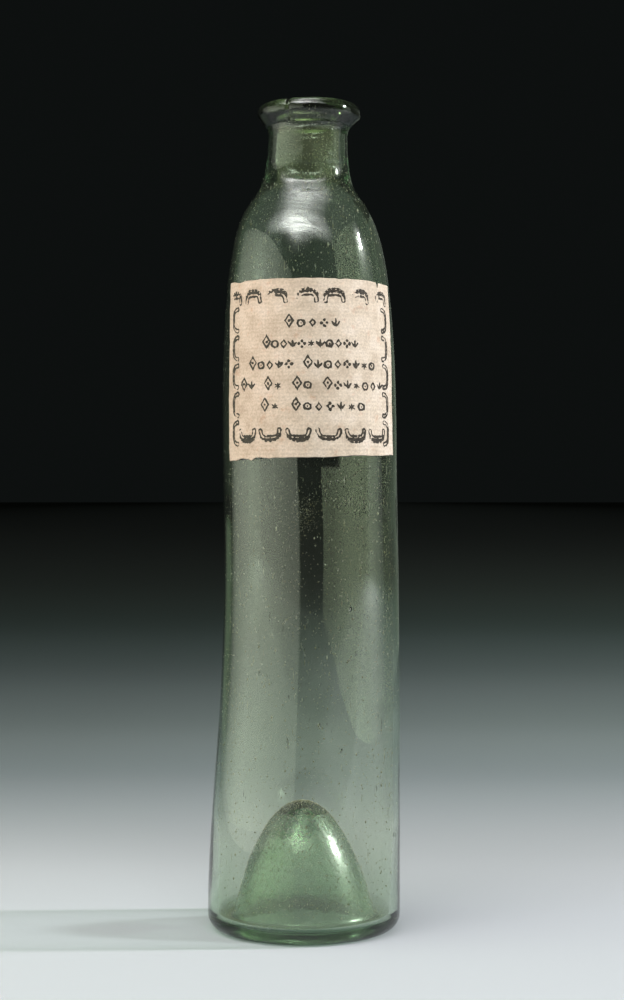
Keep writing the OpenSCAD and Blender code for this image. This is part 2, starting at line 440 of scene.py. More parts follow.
def flakes(spots, name):
    """Small eight-sided grains. Each spot is (x, y, z, size, stretch along z) in millimetres."""
    n = len(spots)
    form = np.array([(1, 0, 0), (-1, 0, 0), (0, 1, 0), (0, -1, 0), (0, 0, 1), (0, 0, -1)], float)
    sides = np.array([(0, 2, 4), (2, 1, 4), (1, 3, 4), (3, 0, 4), (2, 0, 5), (1, 2, 5), (3, 1, 5), (0, 3, 5)])
    turn = rng.uniform(0, math.pi, n)
    c, sn = np.cos(turn), np.sin(turn)
    scale = spots[:, 3, None] * np.c_[np.ones(n), rng.uniform(0.5, 1, n), spots[:, 4]]
    pts = form[None] * scale[:, None, :]
    x = pts[..., 0] * c[:, None] - pts[..., 1] * sn[:, None]
    y = pts[..., 0] * sn[:, None] + pts[..., 1] * c[:, None]
    verts = np.stack([x, y, pts[..., 2]], -1) + spots[:, None, :3]
    faces = (sides[None] + 6 * np.arange(n)[:, None, None]).reshape(-1, 3)
    return make(name, verts.reshape(-1, 3), faces.tolist(), False)


def inner_point(theta, z):
    """Where a grain on the inner wall lies."""
    return placed(theta, wall_radius(z) - thickness(z) - GRAIN_OFF, z, True)


# Grains on the wall: count, least size, mean of what is added, most, and how uneven (0: long dashes)
WALL_GRAINS = ((5200, 0.09, 0.045, 0.28, 0.45), (260, 0.06, 0.012, 0.1, 0.0))
# A dull cloud at eye level and two thin crusts: pixel across and down, spread across and down, count, size
CLOUDS = ((305, 516, 7, 11, 300, 0.072), (268, 545, 20, 45, 90, 0.08), (340, 600, 25, 60, 90, 0.08))
# Branching scratches: pixel across and down, lean, count
SCRATCHES = ((285.7, 620, 0.9, 26), (284.5, 788.7, 0.7, 20), (336, 655, -0.4, 12))
NECK_GRAINS, KICK_GRAINS, MOAT_GRAINS = 900, 4200, 2600
# How far a grain's middle lies off the glass, and the height of the tide mark in the neck
GRAIN_OFF, TIDE_Z = 0.02, 192.2


def wall_grains(n, least, more, most, uneven):
    """Grains all over the inner wall, with a larger share in the shoulder."""
    shoulder = rng.uniform(0, 1, n) < 0.14
    z = np.where(shoulder, 188 - 42 * rng.uniform(0, 1, n) ** 1.3, rng.uniform(8, 186, n))
    theta = rng.uniform(0, TAU, n)
    size = np.minimum(least + rng.exponential(more, n), most)
    stretch = np.exp(rng.normal(0.1, uneven, n)) if uneven else rng.uniform(6, 20, n)
    return np.c_[(*inner_point(theta, z), size, stretch)]


def grain_seen(px, py, size, stretch):
    """One grain on the inner wall, where the photograph shows a pixel."""
    theta, z = seen_at(px, py)
    return np.c_[(*inner_point(np.array([theta]), np.array([z])), size, stretch)]


def neck_grains(n):
    """The neck's dull bloom, in upright streaks and a tide mark."""
    theta = rng.uniform(0, TAU, n)
    theta = theta + 0.15 * np.sin(3 * theta + 1)
    at_tide = rng.uniform(0, 1, n) < 0.12
    tide = TIDE_Z + 0.5 * np.sin(theta) + rng.normal(0, 0.25, n)
    z = np.where(at_tide, tide, rng.uniform(186, 204, n))
    r = np.where(z > 190.5, BORE_R, wall_radius(z) - 1.9) - GRAIN_OFF
    return np.c_[(*placed(theta, r, z, True), rng.uniform(0.06, 0.13, n), rng.uniform(0.7, 1.4, n))]


def kick_grains(n):
    """Grains on the kick's upper side, from its foot to its crown."""
    line = INSIDE[np.argmin(np.where(INSIDE[:, 0] < 20, INSIDE[:, 1], 99)):]
    step = np.r_[0, np.cumsum(np.linalg.norm(np.diff(line, axis=0), axis=1))]
    at = step[-1] * rng.uniform(0, 1, n) ** 0.8
    line = line - 0.14 * normals(line)
    r, z = np.interp(at, step, line[:, 0]), np.interp(at, step, line[:, 1])
    theta = rng.uniform(0, TAU, n)
    size = np.minimum(0.075 + rng.exponential(0.04, n), 0.26)
    return np.c_[(*kick_placed(theta, np.abs(r), z), size, rng.uniform(0.6, 1.3, n))]


def moat_grains(n):
    """What settled in the moat, most of it to the left."""
    spread = rng.uniform(0, 1, n) < 0.4
    theta = np.where(spread, rng.uniform(0, TAU, n), rng.normal(math.radians(205), 0.5, n))
    r = rng.uniform(18.2, 21.3, n)
    z = FLOOR_T + MOAT_R - np.sqrt(np.maximum(MOAT_R**2 - (r - 19.4) ** 2, 0)) + 0.06
    return np.c_[(*outer_placed(theta, r, z), rng.uniform(0.05, 0.14, n), np.ones(n))]


def residue():
    """Dried grains of the old contents on the inner wall, the neck, the kick and the moat."""
    spots = [wall_grains(*row) for row in WALL_GRAINS]
    for px, py, across, down, count, size in CLOUDS:
        for _ in range(count):
            at = px + rng.normal() * across, py + rng.normal() * down
            spots.append(grain_seen(*at, size + rng.exponential(0.02), 1.0))
    for px, py, lean, count in SCRATCHES:
        for _ in range(count):
            t = rng.uniform(-1, 1)
            at = px + t * 3.2 + rng.normal() * 0.5, py - t * 3.4 * lean + rng.normal() * 0.7
            spots.append(grain_seen(*at, 0.05 + rng.exponential(0.03), 1.6))
    spots += [neck_grains(NECK_GRAINS), kick_grains(KICK_GRAINS), moat_grains(MOAT_GRAINS)]
    return flakes(np.vstack(spots), "residue_specks")


# Label: s runs round the wall and z up it, both in millimetres
LABEL_W, LABEL_TURN = 49.4, 2.0
SHEET_R = 21.75
PAPER_OUT, PAPER_T = 0.27, 0.13
PASTE_OUT, PASTE_IN = 0.095, 0.02
INK_OUT = 0.03


def on_wall(s, z, off):
    """Where a point of the label's sheet lies, off millimetres out from the glass."""
    theta = math.radians(LABEL_TURN - 90) + s / SHEET_R * (SHEET_R / wall_radius(z))
    return placed(theta, wall_radius(z) + off, z, False)


def wiggle(t, seed, height, n0=2, n1=18):
    """An uneven edge: waves n0 to n1 along it, lower as they get shorter."""
    r = np.random.default_rng(seed)
    out = np.zeros_like(t)
    for n in range(n0, n1):
        out += height / math.sqrt(n) * r.normal() * np.cos(TAU * n * t + r.uniform(0, 7)) / 2
    return out


def notch(t, at, half, deep):
    return deep * np.clip(1 - np.abs(t - at) / half, 0, 1)


def cockle(u, v):
    """How far the paper stands off in waves, by its share of the width and height."""
    return 0.03 * np.sin(TAU * (1.3 * u + 0.4 * v)) * np.sin(TAU * 1.1 * v + 1)


def shares(nu, nv):
    """A sheet's grid as shares of its width and its height."""
    return np.meshgrid(np.linspace(0, 1, nu + 1), np.linspace(0, 1, nv + 1), indexing="ij")


def label():
    """The paper: a thin sheet with a nick at its top right and a ragged lower left edge."""
    u, v = shares(260, 200)
    t = u[:, 0]
    top = LABEL_H - 0.1 + wiggle(t, 4, 0.05) - 0.5 * smooth((t - 0.75) / 0.25) - notch(t, 0.875, 0.011, 1.7)
    top = top - notch(t, 0.1, 0.05, 0.35) - notch(t, 0.64, 0.03, 0.2)
    low = -0.45 + 1.45 * t + wiggle(t, 6, 0.1)
    ragged = smooth((0.27 - t) / 0.05) * (t > 0.07)
    low = low + ragged * (0.2 + wiggle(t, 9, 0.42, 6, 40)) + notch(t, 0.26, 0.02, 0.25)
    left = -LABEL_W / 2 + wiggle(v[0], 12, 0.12)
    right = LABEL_W / 2 + wiggle(v[0], 13, 0.1)
    s = left[None, :] * (1 - u) + right[None, :] * u
    z = LABEL_Z + low[:, None] * (1 - v) + top[:, None] * v
    edge = np.minimum(np.minimum(u, 1 - u) * LABEL_W, np.minimum(v, 1 - v) * LABEL_H)
    lift = 0.1 * np.clip(1 - edge / 1.2, 0, 1) ** 2 * (0.5 + 0.5 * np.sin(9 * u + 7 * v))
    waves = cockle(u, v)
    back = PAPER_OUT - PAPER_T + np.minimum(waves, 0) + lift
    return sheet_mesh("label_sheet", s, z, PAPER_OUT + waves + lift, back)


def sheet_mesh(name, s, z, off_out, off_in):
    """A closed thin sheet on the wall, between two distances out from the glass."""
    nu, nv = s.shape[0] - 1, s.shape[1] - 1
    outer = np.stack(on_wall(s, z, off_out), -1).reshape(-1, 3)
    inner = np.stack(on_wall(s, z, off_in), -1).reshape(-1, 3)
    n = len(outer)
    ids = np.arange(n).reshape(nu + 1, nv + 1)
    a, b, c, d = ids[:-1, :-1], ids[1:, :-1], ids[1:, 1:], ids[:-1, 1:]
    front = np.stack([a, b, c, d], -1).reshape(-1, 4)
    back = front[:, ::-1] + n
    rim = np.r_[ids[:-1, 0], ids[-1, :-1], ids[::-1, -1][:-1], ids[0, ::-1][:-1]]
    nxt = np.roll(rim, -1)
    wall = np.stack([rim, rim + n, nxt + n, nxt], -1)
    return make(name, np.vstack([outer, inner]), np.vstack([front, back, wall]).tolist())


def paste_film():
    """The dried paste: a thin film behind the paper that shows a little past its edges."""
    u, v = shares(160, 120)
    more_u = 0.1 + wiggle(v[0], 31, 0.1)
    more_v = 0.05 + wiggle(u[:, 0], 32, 0.1)
    s = (u - 0.5) * 2 * (LABEL_W / 2 + more_u[None, :])
    low, top = -0.3 + 1.3 * u[:, 0] - more_v, LABEL_H - 0.45 + more_v
    z = LABEL_Z + low[:, None] * (1 - v) + top[:, None] * v
    return sheet_mesh("paste_film", s, z, PASTE_OUT, PASTE_IN)


# A crescent's fringe has a hole at each of these places along its bow, from -1 at its left end to 1
FRINGE_HOLES = (-0.72, -0.46, -0.16, 0.14, 0.44, 0.7)


def crescent_field(x, y, width, fringe, line, wear, r):
    """A hollow band with bulb ends, dark inside its bow, with a scalloped fringe outside it."""
    half = width / 2

    def bow(t):
        return (half - 0.42) * np.sin(t * 1.35) / math.sin(1.35), 0.45 - 1.75 * np.abs(t) ** 3.2

    t = np.linspace(-1, 1, 41)
    px, py = bow(t)
    radius = 0.27 + 0.17 * np.abs(t) ** 3
    away = np.hypot(x[..., None] - px, y[..., None] - py) - radius
    near = away.argmin(-1)
    core, tt = -away.min(-1), t[near]
    outer = (x - px[near]) * px[near] * 0.12 + (y - py[near]) > 0
    ink = line - np.abs(core)
    dark = np.where(outer, -9.0, np.minimum(-core, 0.5 * (1 - tt * tt) * (0.5 + fringe / 2) + core))
    reach = fringe * (1 - np.abs(tt) ** 2.2) + 0.17 * np.abs(np.cos(tt * 9.5 + r.uniform(-0.3, 0.3)))
    petals = np.where(outer & (fringe > 0), np.minimum(-core, reach + core), -9.0)
    for d in FRINGE_HOLES:
        a, b = bow(d)
        way = math.atan2(1.0, d * 0.9)
        lift = 0.45 + 0.25 * fringe
        off = x - a - lift * math.cos(way), y - b - 0.27 - lift * math.sin(way)
        petals = np.minimum(petals, (np.hypot(*off) - r.uniform(0.05, 0.17)) * 1.5)
    worn = np.clip(-x / half * wear, 0, 1) * 0.35 + 0.05 * wear
    return np.maximum(ink, np.maximum(dark, petals)) - worn


class Print:
    """Ink on the label: shapes are fields over (s, z), positive where there is ink.

    They are gathered as one field, which is then cut into faces along its outline.
    """

    def __init__(self, step=0.13):
        self.s = np.arange(-LABEL_W / 2, LABEL_W / 2, step)
        self.z = np.arange(LABEL_Z, LABEL_Z + LABEL_H, step)
        self.f = np.full((len(self.s), len(self.z)), -1.0)

    def stamp(self, s, z, reach, field):
        """Add the ink that field gives by distance right of and above a point."""
        i = slice(*np.searchsorted(self.s, (s - reach, s + reach)))
        j = slice(*np.searchsorted(self.z, (z - reach, z + reach)))
        self.f[i, j] = np.maximum(self.f[i, j], field(self.s[i, None] - s, self.z[None, j] - z))

    def crescent(self, s, z, turn, width, fringe, line, wear, seed):
        c, k = math.cos(turn), math.sin(turn)
        args = width, fringe, line, wear, np.random.default_rng(seed)
        self.stamp(s, z, 4.6, lambda x, y: crescent_field(x * c + y * k, -x * k + y * c, *args))

    def lozenge(self, s, z, w, h):
        def field(x, y):
            f = (1 - np.abs(x) / (w / 2) - np.abs(y) / (h / 2)) * 0.5 * min(w, h)
            return np.minimum(f, 0.52 - f)

        self.stamp(s, z, 2.4, field)

    def dot(self, s, z, q):
        self.stamp(s, z, 1.4, lambda x, y: q - np.hypot(x, y))

    def ring(self, s, z, q):
        self.stamp(s, z, 1.8, lambda x, y: 0.22 + 0.08 * np.abs(x) / q - np.abs(np.hypot(x, y) - q))

    def leaf(self, s, z, lean, long, wide):
        """A pointed leaf: two arcs that meet at its ends."""
        c, k = math.cos(lean), math.sin(lean)
        bend = (long * long / wide - wide) / 4
        reach = bend + wide / 2
        self.stamp(s, z, 2.6, lambda x, y: reach - np.hypot(np.abs(x * c - y * k) + bend, x * k + y * c))

    def ornament(self, kind, s, z, size):
        """One small sort: a sprig, a ring, a flower of four, a lozenge or a star."""
        if kind == 0:
            self.leaf(s, z + 0.1 * size, 0, 2.3 * size, 0.62)
            for way in (-1, 1):
                self.leaf(s + 0.55 * way * size, z - 0.1 * size, 0.62 * way, 1.9 * size, 0.56)
        elif kind == 1:
            self.ring(s, z, 0.72 * size)
            self.dot(s, z, 0.2)
        elif kind == 2:
            for du, dv in ((0.6, 0), (-0.6, 0), (0, 0.66), (0, -0.66)):
                self.dot(s + du * size, z + dv * size, 0.4)
        elif kind == 3:
            self.lozenge(s, z, 2.0 * size, 2.5 * size)
        else:
            for n in range(3):
                self.leaf(s, z, math.pi * n / 3, 2.1 * size, 0.44)

    def worn(self):
        """The field, unevenly worn and clear of the sheet's edge."""
        g = np.random.default_rng(23)
        s, z = np.meshgrid(self.s, self.z, indexing="ij")
        wear = np.zeros_like(s)
        for _ in range(26):
            k = g.uniform(0.8, 9.0)
            a = g.uniform(0, TAU)
            wear += np.cos(k * (s * math.cos(a) + z * math.sin(a)) + g.uniform(0, 7))
        f = self.f + 0.017 * wear - 0.01
        f[0, :] = f[-1, :] = f[:, 0] = f[:, -1] = -1
        return f

    def object(self, name):
        """Make faces of the worn ink, following its outline inside each cell."""
        f = self.worn()
        ids, verts, faces = {}, [], []

        def vert(key, s, z):
            if key not in ids:
                ids[key] = len(verts)
                verts.append((s, z))
            return ids[key]

        inked = f > 0
        touch = inked[:-1, :-1] | inked[1:, :-1] | inked[1:, 1:] | inked[:-1, 1:]
        for i, j in np.argwhere(touch):
            ring = [(i, j), (i + 1, j), (i + 1, j + 1), (i, j + 1)]
            face = []
            for p, q in zip(ring, ring[1:] + ring[:1]):
                fp, fq = f[p], f[q]
                if fp > 0:
                    face.append(vert(p, self.s[p[0]], self.z[p[1]]))
                if (fp > 0) != (fq > 0):
                    t = fp / (fp - fq)
                    sp = self.s[p[0]] + t * (self.s[q[0]] - self.s[p[0]])
                    zp = self.z[p[1]] + t * (self.z[q[1]] - self.z[p[1]])
                    face.append(vert((min(p, q), max(p, q)), sp, zp))
            if len(face) > 2:
                faces.append(face)
        s, z = np.array(verts).T
        waves = cockle((s + LABEL_W / 2) / LABEL_W, (z - LABEL_Z) / LABEL_H)
        return make(name, np.c_[on_wall(s, z, PAPER_OUT + waves + INK_OUT)], faces, False)


# Border crescents: degrees from the front, width, fringe, wear
TOP_ROW = (
    (-56.4, 4.6, 1, 0.8), (-39.2, 4.9, 1, 0.1), (-20.8, 5.2, 1, 0.55), (-0.6, 5.0, 1, 0.5),
    (17.0, 5.3, 1, 0.1), (36.4, 5.0, 1, 0.8), (56.6, 4.7, 1, 0.5),
)
LOW_ROW = (
    (-43.2, 5.5, 0.9, 0.3), (-25.6, 5.9, 0.6, 0.2), (-7.2, 6.0, 0.75, 0.2),
    (11.9, 6.2, 0.4, 0.25), (30.1, 5.6, 0.95, 0.2), (47.9, 5.8, 0.8, 0.2),
)
# The rows: crescents, height, millimetres along the wall for a degree, turn, sway, line, wear's side, seed
EDGE_ROWS = (
    (TOP_ROW, 156.0, 0.366, 0, (0.05, 2.1), 0.17, 1, 0),
    (LOW_ROW, 122.2, 0.382, math.pi, (0.04, 1.7), 0.21, -1, 20),
)
SIDE_Z, SIDE_PITCH, SIDE_COUNT = 150.6, 6.9, 5
# Five centred rows of small ornaments: height, start, end, and how many stand in each group
ROWS = (
    (149.4, -6.8, 7.2, (5,)),
    (144.4, -12.3, 11.9, (11,)),
    (139.4, -16.4, 17.0, (5, 8)),
    (134.4, -19.4, 19.9, (2, 2, 2, 7)),
    (129.3, -13.2, 13.7, (2, 7)),
)
GROUP_GAP = 0.9
SORTS = (0, 1, 3, 2, 0, 4, 1, 3, 0, 2, 4)


def label_print():
    """A border of crescents round five rows of ornaments, each group of which starts with a tall lozenge."""
    ink = Print()
    for crescents, z, per_deg, turn, (sway, beat), line, way, seed in EDGE_ROWS:
        for n, (deg, wide, fringe, wear) in enumerate(crescents):
            lean = turn + sway * math.sin(n * beat)
            ink.crescent((deg - LABEL_TURN) * per_deg, z, lean, wide, fringe, line, way * wear, seed + n)
    for n in range(SIDE_COUNT):
        z = SIDE_Z - SIDE_PITCH * n
        ink.crescent(-21.9 + 0.15 * math.sin(3 * n), z, math.pi / 2, 6.1, 0, 0.26, 0.25, 40 + n)
        ink.crescent(21.6 + 0.15 * math.sin(4 * n), z, -math.pi / 2, 6.1, 0, 0.26, 0.2, 60 + n)
    sort = 0
    for z, start, end, groups in ROWS:
        pitch = (end - start) / (sum(groups) + GROUP_GAP * (len(groups) - 1))
        at = start + pitch / 2
        for size in groups:
            for m in range(size):
                if m == 0:
                    ink.lozenge(at, z + 0.45, 2.5, 3.7)
                    ink.dot(at, z + 0.45, 0.34)
                else:
                    rise = 0.09 * math.sin(at * 3.1) - 0.1
                    ink.ornament(SORTS[sort % len(SORTS)], at, z + rise, 1.0 + 0.08 * math.sin(sort * 2.3))
                sort += 1
                at += pitch
            at += GROUP_GAP * pitch
    return ink.object("label_print")


# The scar's mean radius before its edge is broken, and after, and its gap under the crown
SCAR_R, SCAR_EDGE, SCAR_GAP = 7.6, 7.9, 0.03


def pontil():
    """Rough broken glass that the rod left under the crown."""
    under = OUTSIDE[:60]
    rings, n = 26, 90
    theta = np.linspace(0, TAU, n, endpoint=False)
    edge = SCAR_EDGE + 0.7 * np.sin(3 * theta + 1) + 0.5 * np.sin(7 * theta) + 0.3 * np.sin(17 * theta)
    verts = []
    for below in (False, True):
        for r in np.linspace(0, SCAR_R, rings + 1):
            deep = 0.0
            if below:
                flat = np.c_[r * np.cos(theta), r * np.sin(theta), np.zeros(n)]
                rough = 0.9 * lumps(flat, 0.55) + 0.45 * lumps(flat + (0, 0, 5), 1.9)
                deep = np.maximum(0.05, 0.75 + rough) * smooth((SCAR_R - r) / 1.6) + 0.02
            out = r * edge / SCAR_R
            z = np.interp(out, under[:, 0], under[:, 1]) - SCAR_GAP - deep
            verts.extend(np.c_[kick_placed(theta, out, z)].tolist())
    faces = []
    per = (rings + 1) * n
    for k in range(rings + 1):
        for i in range(n):
            a, b = k * n + i, k * n + (i + 1) % n
            if k < rings:
                faces += [(a, b, b + n, a + n), (a + per, a + n + per, b + n + per, b + per)]
            else:
                faces.append((a, b, b + per, a + per))
    return make("pontil_glass", verts, faces, False)


class Nodes:
    """A node tree that is being built, with short ways to add the nodes that it uses often."""

    def __init__(self, tree):
        self.tree = tree

    def add(self, kind, values=None, **settings):
        """A node with its own settings. Values by socket are numbers, colours or outputs of other nodes."""
        node = self.tree.nodes.new("ShaderNode" + kind)
        for name, value in settings.items():
            setattr(node, name, value)
        for key, value in (values or {}).items():
            socket = node.inputs[key]
            if isinstance(value, bpy.types.NodeSocket):
                self.tree.links.new(value, socket)
            elif isinstance(value, tuple):
                socket.default_value = (*value, 1)
            else:
                socket.default_value = value
        return node

    def place(self):
        return self.add("TexCoord").outputs["Object"]

    def split(self, vector):
        return self.add("SeparateXYZ", {"Vector": vector}).outputs

    def calc(self, kind, a, b):
        return self.add("Math", {0: a, 1: b}, operation=kind).outputs["Value"]

    def times(self, a, b):
        return self.calc("MULTIPLY", a, b)

    def span(self, value, start, end, low=0.0, high=1.0, **settings):
        """low to high as value goes from start to end."""
        values = {"Value": value, "From Min": start, "From Max": end, "To Min": low, "To Max": high}
        return self.add("MapRange", values, **settings).outputs["Result"]

    def noise(self, place, scale, detail):
        return self.add("TexNoise", {"Vector": place, "Scale": scale, "Detail": detail}).outputs["Fac"]

    def ramp(self, value, stops, interpolation="LINEAR"):
        """A colour by value, from stops of (place, red, green, blue)."""
        ramp = self.add("ValToRGB", {"Fac": value})
        ramp.color_ramp.interpolation = interpolation
        elements = ramp.color_ramp.elements
        for i, (at, *rgb) in enumerate(stops):
            stop = elements[i] if i < 2 else elements.new(at)
            stop.position = at
            stop.color = (*rgb, 1)
        return ramp.outputs["Color"]

    def tint(self, kind, share, a, b):
        return self.add("Mix", {0: share, 6: a, 7: b}, data_type="RGBA", blend_type=kind).outputs[2]

    def either(self, share, a, b):
        """A shader that goes from a to b."""
        return self.add("MixShader", {"Fac": share, 1: a, 2: b}).outputs["Shader"]

    def principled(self, colour, rough, more):
        return self.add("BsdfPrincipled", {"Base Color": colour, "Roughness": rough, **more}).outputs["BSDF"]

    def dimmed_shadow(self, surface, shade):
        """The surface, which lets lamps through to what is behind it as far as shade says."""
        through = self.add("BsdfTransparent", {"Color": shade}).outputs["BSDF"]
        return self.either(self.add("LightPath").outputs["Is Shadow Ray"], surface, through)


def material(name, surface, volume=None):
    """A material. surface and volume are functions that add the nodes of each and give their last output."""
    mat = bpy.data.materials.new(name)
    mat.use_nodes = True
    mat.node_tree.nodes.clear()
    n = Nodes(mat.node_tree)
    ends = {"Surface": surface(n)}
    if volume:
        ends["Volume"] = volume(n)
    n.add("OutputMaterial", ends)
    return mat


# What a lamp loses at each face of the glass, for what stands behind it
GLASS_SHADE = (0.93, 0.93, 0.945)
BODY_TINT, BODY_GREEN, BODY_DENSITY = (1, 1, 0.94), (0.45, 0.65, 0.47), 170.0
LIP_TINT, LIP_GREEN, LIP_DENSITY = (1, 1, 0.93), (0.61, 0.66, 0.55), 8.5 * BODY_DENSITY


def glass(name, tint, green, density):
    """Clear glass whose green comes from its thickness."""

    def surface(n):
        clear = n.principled(tint, 0.0, {"IOR": 1.5, "Transmission Weight": 0.994})
        return n.dimmed_shadow(clear, GLASS_SHADE)

    def volume(n):
        return n.add("VolumeAbsorption", {"Color": green, "Density": density}).outputs["Volume"]

    return material(name, surface, volume)


def mottled(name, rough, stops, scale, specular=0.5):
    """A dull surface whose colour wanders between stops. The scale is in cells per millimetre."""

    def surface(n):
        colour = n.ramp(n.noise(n.place(), scale / MM, 4), stops)
        return n.principled(colour, rough, {"Specular IOR Level": specular})

    return material(name, surface)


def haze(name, colour, rough, ior, shade):
    """A thin dull film that blurs what is behind it and lets part of each lamp through."""
    film = {"IOR": ior, "Transmission Weight": 0.93, "Coat Weight": 0.7, "Coat Roughness": 0.25}
    return material(name, lambda n: n.dimmed_shadow(n.principled(colour, rough, film), shade))


def dust(name, colour, cover):
    """A dried film so thin that it covers only a part of what is behind it."""
    return material(name, lambda n: n.principled(colour, 0.9, {"Specular IOR Level": 0.0, "Alpha": cover}))


def paste():
    """Brittle, nearly clear starch."""
    clear = {"Transmission Weight": 0.98}
    return material("dried_paste", lambda n: n.principled((0.97, 0.96, 0.9), 0.2, clear))


# Colours of the dull materials, as ramps of (place, red, green, blue)
PAPER_STOPS = ((0.3, 0.52, 0.4, 0.27), (0.5, 0.62, 0.49, 0.34), (0.7, 0.68, 0.55, 0.4))
INK_STOPS = ((0.3, 0.022, 0.018, 0.013), (0.65, 0.06, 0.048, 0.034))
RESIDUE_STOPS = ((0.35, 0.42, 0.38, 0.2), (0.5, 0.66, 0.63, 0.45), (0.65, 0.88, 0.85, 0.75))
SCAR_STOPS = ((0.35, 0.004, 0.03, 0.006), (0.65, 0.06, 0.27, 0.055))


def paper(n):
    """Old laid paper: browner to the left, a stain, and lighter to the right, painted light from the lamp on
    the right, with foxing, fibres and faint laid lines.
    """
    place = n.place()
    base = n.ramp(n.noise(place, 0.22 / MM, 6), PAPER_STOPS)
    # Stain and painted light: browner to the left, and lighter to the right where the lamp on the right
    # lights it
    side = n.span(n.split(place)["X"], -18 * MM, 18 * MM, interpolation_type="SMOOTHSTEP")
    base = n.tint("MULTIPLY", 1.0, base, n.tint("MIX", side, (0.97, 0.92, 1.07), (1.29, 1.39, 1.62)))
    foxing = n.span(n.noise(place, 0.5 / MM, 3), 0.6, 0.74, high=0.55)
    base = n.tint("MULTIPLY", foxing, base, (0.92, 0.72, 0.62))
    fibres = n.span(n.noise(place, 2.2 / MM, 4), 0.35, 0.65)
    base = n.tint("MULTIPLY", 1.0, base, n.tint("MIX", fibres, (0.86, 0.84, 0.82), (1.1, 1.1, 1.1)))
    wave = {"Vector": place, "Scale": 0.32 / MM, "Distortion": 1.2, "Detail": 2}
    laid = n.add("TexWave", wave, wave_type="BANDS", bands_direction="Z").outputs["Fac"]
    base = n.tint("MULTIPLY", 1.0, base, n.tint("MIX", laid, (0.96, 0.955, 0.95), (1.02, 1.02, 1.02)))
    bump = n.add("Bump", {"Height": n.noise(place, 3.0 / MM, 2), "Strength": 0.3, "Distance": 0.1 * MM})
    return n.principled(base, 0.85, {"Specular IOR Level": 0.25, "Normal": bump.outputs["Normal"]})


# Films as thin as breath: where they lie by (radius, height, on the kick), colour and cover
FILM_OFF, FILM_T = 0.09, 0.03
BLOOM_OFF, BLOOM_T = 0.03, 0.04
DUSTS = (
    ("neck_bloom", lambda r, z, kick: (z > 186) & (z < 203.2), (0.56, 0.6, 0.36), 0.085),
    ("shoulder_bloom", lambda r, z, kick: (z > 155) & (z < 185), (0.46, 0.62, 0.48), 0.04),
    ("moat_bloom", lambda r, z, kick: z < np.where(kick, 11, 6.4), (0.56, 0.66, 0.4), 0.06),
)


def film_on(name, keep, off, thick):
    """A closed film on a part of the inner side."""
    places = inner_side()
    up = -normals(INSIDE)
    chosen = np.flatnonzero(keep(INSIDE[:, 0], INSIDE[:, 1], np.array([p is kick_placed for p in places])))
    under = [(*(INSIDE[i] + off * up[i]), places[i]) for i in chosen]
    over = [(*(INSIDE[i] + (off + thick) * up[i]), places[i]) for i in chosen]
    return make(name, *revolve(under[::-1] + over, AROUND))


def dress(ob, mat):
    """Give a piece its material and let it ride on the bottle's one body."""
    ob.data.materials.append(mat)
    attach(ob, "root")
    return ob


body = dress(glass_body(), glass("green_glass", BODY_TINT, BODY_GREEN, BODY_DENSITY))
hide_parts("blown_body")

trail = dress(lip(), glass("lip_glass", LIP_TINT, LIP_GREEN, LIP_DENSITY))
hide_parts("lip_ring")

sheet = dress(label(), material("rag_paper", paper))
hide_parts("paper_label")

dress(label_print(), mottled("ink", 0.7, INK_STOPS, 1.4, 0.3))
dress(residue(), mottled("residue", 0.8, RESIDUE_STOPS, 0.9))

scar = dress(pontil(), mottled("scar_glass", 0.25, SCAR_STOPS, 1.1))
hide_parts("pontil_scar")

bloom = film_on("kick_bloom", lambda r, z, kick: kick & (z > 3.6) & (r > 6), BLOOM_OFF, BLOOM_T)
dress(bloom, haze("kick_bloom", (0.8, 0.92, 0.8), 0.16, 1.15, (0.93, 0.94, 0.92)))
for name, keep, colour, cover in DUSTS:
    dress(film_on(name, keep, FILM_OFF, FILM_T), dust(name, colour, cover))

dried = dress(paste_film(), paste())
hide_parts("label_paste")

# Stage: a pale floor whose colour darkens with distance, a painted pool of lamp light, and a dark studio
# behind it.
# Painted light pool: floor colour by distance from the pool, darker further out in place of the lamps'
# fall-off: (distance in millimetres, red, green, blue)
FLOOR_LIGHT_POOL_STOPS = [
    (95, 0.595, 0.625, 0.66),
    (180, 0.515, 0.54, 0.565),
    (333, 0.29, 0.33, 0.34),
    (500, 0.20, 0.24, 0.235),
    (760, 0.115, 0.145, 0.14),
    (1170, 0.053, 0.075, 0.068),
    (1900, 0.037, 0.05, 0.042),
    (5000, 0.043, 0.052, 0.047),
    (40000, 0.035, 0.043, 0.042),
]
# Where the painted light pool ends, the distance at half of the ramp, and the floor's half side
NEAR_EDGE, HALF, REACH = -80, 500, 90000
# The floor stands this far below the resting ring, so that glass does not touch it
FLOOR_GAP = 0.04
# Steps of (start, end, brightness at each) along a line towards the camera that slants by SLANT.
# They are a brighter strip of painted lamp light, the end of the pale cloth and the end of the table, for
# what the glass mirrors.
SLANT = 0.12
CLOTH_AND_LIGHT_STEPS = ((-60, -200, 1.0, 1.25), (-205, -225, 1.0, 0.55), (-560, -620, 1.0, 0.35))
# How much brighter the mirrored floor is on the right, across and towards the back
RIGHT_ACROSS, RIGHT_BACK = (100, 220, 0, 0.3), (120, 20, 0, 1)
# Painted fall-off of light: how the floor dims to the sides and to the front where it is seen directly
SIDE_FADE, FRONT_FADES = (800, 5000, 1.0, 0.12), ((-90, -400, 1.0, 0.72), (-500, -4000, 1.0, 0.15))
# Painted light: the floor is a little darker to the left of the bottle and lighter to the right
ACROSS = (-110, 110, 0.88, 1.05)


